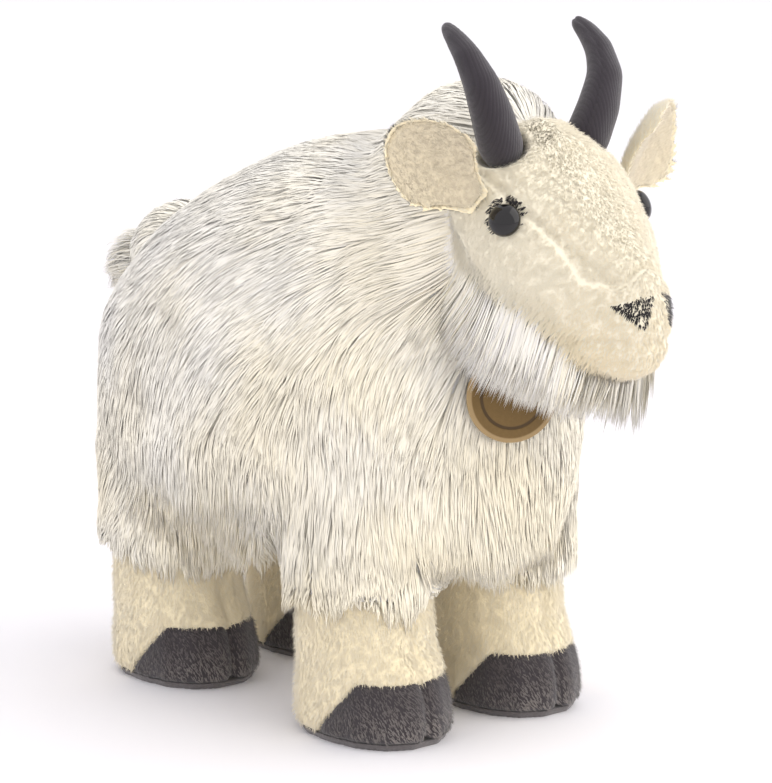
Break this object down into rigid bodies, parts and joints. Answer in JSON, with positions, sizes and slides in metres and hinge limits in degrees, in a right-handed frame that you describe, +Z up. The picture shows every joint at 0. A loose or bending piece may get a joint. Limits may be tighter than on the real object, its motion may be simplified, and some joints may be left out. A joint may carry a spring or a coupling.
{
  "type": "plush mountain goat",
  "caption": "Standing stuffed toy mountain goat: long-pile body cover, short plush face, ears and legs, velour horns and hooves, glossy eyes, and a round tag at the throat",
  "frame": {"origin": "middle of the goat's bounding box, on the floor that it stands on", "axes": "+Z up, +Y towards the tail, the goat faces -Y, so its right side is -X"},
  "size_m": [0.1612, 0.3416, 0.2969],
  "materials": {
    "long_pile": "long white faux fur on a knitted backing, loose wavy pile about 20 mm long, matte with a soft sheen",
    "short_plush": "short dense cream plush, matte",
    "ear_lining": "short cream plush with a warmer tint, matte",
    "horn_velour": "dark grey ribbed velour, matte",
    "hoof_plush": "dark grey short plush with lighter tips, matte",
    "sole_plush": "grey short plush, matte",
    "fibrefill": "white polyester fibre filling",
    "eye_plastic": "clear-coated dark brown and black plastic dome, glossy",
    "washer_plastic": "plain moulded plastic",
    "tag_leather": "olive-brown imitation leather with a dark inscribed ring, satin",
    "loop_cord": "thin woven cord"
  },
  "bodies": {
    "goat": {"leg_front_right_outer": "short_plush", "hoof_front_right_outer": "hoof_plush", "leg_front_right_inner": "short_plush", "hoof_front_right_inner": "hoof_plush", "sole_front_right": "sole_plush", "leg_filling_front_right": "fibrefill", "leg_front_left_outer": "short_plush", "hoof_front_left_outer": "hoof_plush", "leg_front_left_inner": "short_plush", "hoof_front_left_inner": "hoof_plush", "sole_front_left": "sole_plush", "leg_filling_front_left": "fibrefill", "leg_hind_right_outer": "short_plush", "hoof_hind_right_outer": "hoof_plush", "leg_hind_right_inner": "short_plush", "hoof_hind_right_inner": "hoof_plush", "sole_hind_right": "sole_plush", "leg_filling_hind_right": "fibrefill", "leg_hind_left_outer": "short_plush", "hoof_hind_left_outer": "hoof_plush", "leg_hind_left_inner": "short_plush", "hoof_hind_left_inner": "hoof_plush", "sole_hind_left": "sole_plush", "leg_filling_hind_left": "fibrefill", "body_cover_right": "long_pile", "body_cover_left": "long_pile", "belly_panel": "long_pile", "body_filling": "fibrefill", "nose_bridge_panel": "short_plush", "face_panel_right": "short_plush", "face_panel_left": "short_plush", "chin_panel": "short_plush", "cheek_fur_right": "long_pile", "cheek_fur_left": "long_pile", "head_filling": "fibrefill", "eye_right": "eye_plastic", "eye_left": "eye_plastic", "eye_washer_right": "washer_plastic", "eye_washer_left": "washer_plastic", "tag_loop": "loop_cord"},
    "horn_right": {"horn_right_front": "horn_velour", "horn_right_back": "horn_velour", "horn_filling_right": "fibrefill"},
    "horn_left": {"horn_left_front": "horn_velour", "horn_left_back": "horn_velour", "horn_filling_left": "fibrefill"},
    "ear_right": {"ear_right_front": "ear_lining", "ear_right_back": "short_plush"},
    "ear_left": {"ear_left_front": "ear_lining", "ear_left_back": "short_plush"},
    "tail": {"tail_top_panel": "long_pile", "tail_under_panel": "long_pile"},
    "tag": {"tag_disc": "tag_leather"}
  },
  "joints": [
    {"name": "ear_right_flex", "type": "hinge", "parent": "goat", "child": "ear_right", "pos_m": [-0.04253, -0.10936, 0.22924], "axis": [0.5293, -0.3577, 0.7693], "range_deg": [-25, 35], "stiffness_Nm_per_rad": 0.12},
    {"name": "ear_left_flex", "type": "hinge", "parent": "goat", "child": "ear_left", "pos_m": [0.04253, -0.10936, 0.22924], "axis": [0.5293, 0.3577, -0.7693], "range_deg": [-25, 35], "stiffness_Nm_per_rad": 0.12},
    {"name": "horn_right_flex", "type": "hinge", "parent": "goat", "child": "horn_right", "pos_m": [-0.02364, -0.10601, 0.24752], "axis": [1, 0, 0], "range_deg": [-12, 12], "stiffness_Nm_per_rad": 0.5},
    {"name": "horn_left_flex", "type": "hinge", "parent": "goat", "child": "horn_left", "pos_m": [0.02364, -0.10601, 0.24752], "axis": [1, 0, 0], "range_deg": [-12, 12], "stiffness_Nm_per_rad": 0.5},
    {"name": "tail_flex", "type": "hinge", "parent": "goat", "child": "tail", "pos_m": [0, 0.13022, 0.18], "axis": [1, 0, 0], "range_deg": [-20, 35], "stiffness_Nm_per_rad": 0.25},
    {"name": "tag_swing", "type": "hinge", "parent": "goat", "child": "tag", "pos_m": [-0.015, -0.10428, 0.162], "axis": [-0.8988, 0.4384, 0], "range_deg": [0, 30]}
  ]
}
